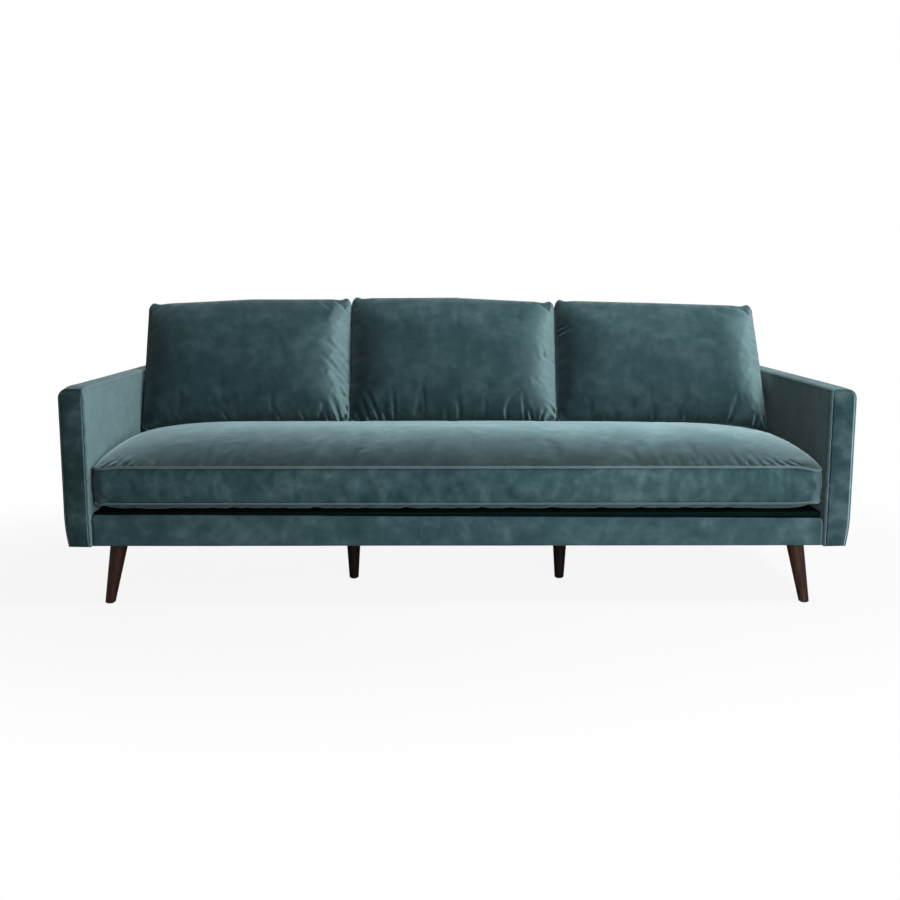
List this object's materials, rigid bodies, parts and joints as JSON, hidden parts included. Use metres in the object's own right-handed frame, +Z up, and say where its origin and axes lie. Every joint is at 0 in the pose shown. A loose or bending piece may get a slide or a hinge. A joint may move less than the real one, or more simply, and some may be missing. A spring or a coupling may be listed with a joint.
{
  "type": "tuxedo sofa",
  "caption": "Long upholstered sofa with thin upright arms level with its back, a boxed bench seat cushion, loose back cushions and tapered wooden legs.",
  "frame": {"origin": "on the floor, under the middle of the sofa's bounding box", "axes": "+X to the sitter's left, which is the right of a viewer who faces the front, +Y from the front to the back, +Z up"},
  "size_m": [2.2, 0.91, 0.8604],
  "materials": {
    "velvet": "matte",
    "lining": "matte",
    "leg_wood": "satin",
    "timber": "matte",
    "plywood": "matte",
    "board": "matte",
    "webbing": "matte",
    "hessian": "matte",
    "foam": "matte",
    "fibre": "matte",
    "steel": "satin",
    "glide": "matte"
  },
  "bodies": {
    "sofa_frame": {"front_rail": "timber", "rear_rail": "timber", "outside_back_rail": "timber", "left_end_rail": "timber", "right_end_rail": "timber", "cross_stretchers": "timber", "corner_blocks": "timber", "left_front_post": "timber", "left_rear_post": "timber", "right_front_post": "timber", "right_rear_post": "timber", "left_arm_top_rail": "timber", "right_arm_top_rail": "timber", "left_inner_board": "board", "right_inner_board": "board", "left_outer_board": "board", "right_outer_board": "board", "back_uprights": "plywood", "back_top_rail": "timber", "back_lower_rail": "timber", "outside_back_board": "board", "back_webbing": "webbing", "seat_springs": "steel", "spring_clips": "steel", "tie_wires": "steel", "spring_cloth": "hessian", "deck_pad": "foam", "left_arm_padding": "foam", "right_arm_padding": "foam", "back_padding": "foam", "rail_padding": "foam", "deck_lining": "lining", "left_arm_cover": "velvet", "right_arm_cover": "velvet", "back_cover": "velvet", "rail_cover": "velvet", "dust_cover": "lining", "left_front_leg": "leg_wood", "right_front_leg": "leg_wood", "left_centre_leg": "leg_wood", "right_centre_leg": "leg_wood", "left_rear_leg": "leg_wood", "right_rear_leg": "leg_wood", "leg_plates": "steel", "plate_screws": "steel", "leg_bolts": "steel", "leg_glides": "glide"},
    "seat": {"seat_cushion": "velvet", "seat_foam_core": "foam"},
    "left_back": {"left_back_cushion": "velvet", "left_cushion_insert": "fibre"},
    "centre_back": {"centre_back_cushion": "velvet", "centre_cushion_insert": "fibre"},
    "right_back": {"right_back_cushion": "velvet", "right_cushion_insert": "fibre"}
  },
  "joints": [
    {"name": "seat_slide", "type": "slide", "parent": "sofa_frame", "child": "seat", "axis": [0, -1, 0], "range_m": [0, 0.7]},
    {"name": "left_back_lift", "type": "slide", "parent": "sofa_frame", "child": "left_back", "axis": [0, 0, 1], "range_m": [0, 0.45]},
    {"name": "centre_back_lift", "type": "slide", "parent": "sofa_frame", "child": "centre_back", "axis": [0, 0, 1], "range_m": [0, 0.45]},
    {"name": "right_back_lift", "type": "slide", "parent": "sofa_frame", "child": "right_back", "axis": [0, 0, 1], "range_m": [0, 0.45]}
  ]
}
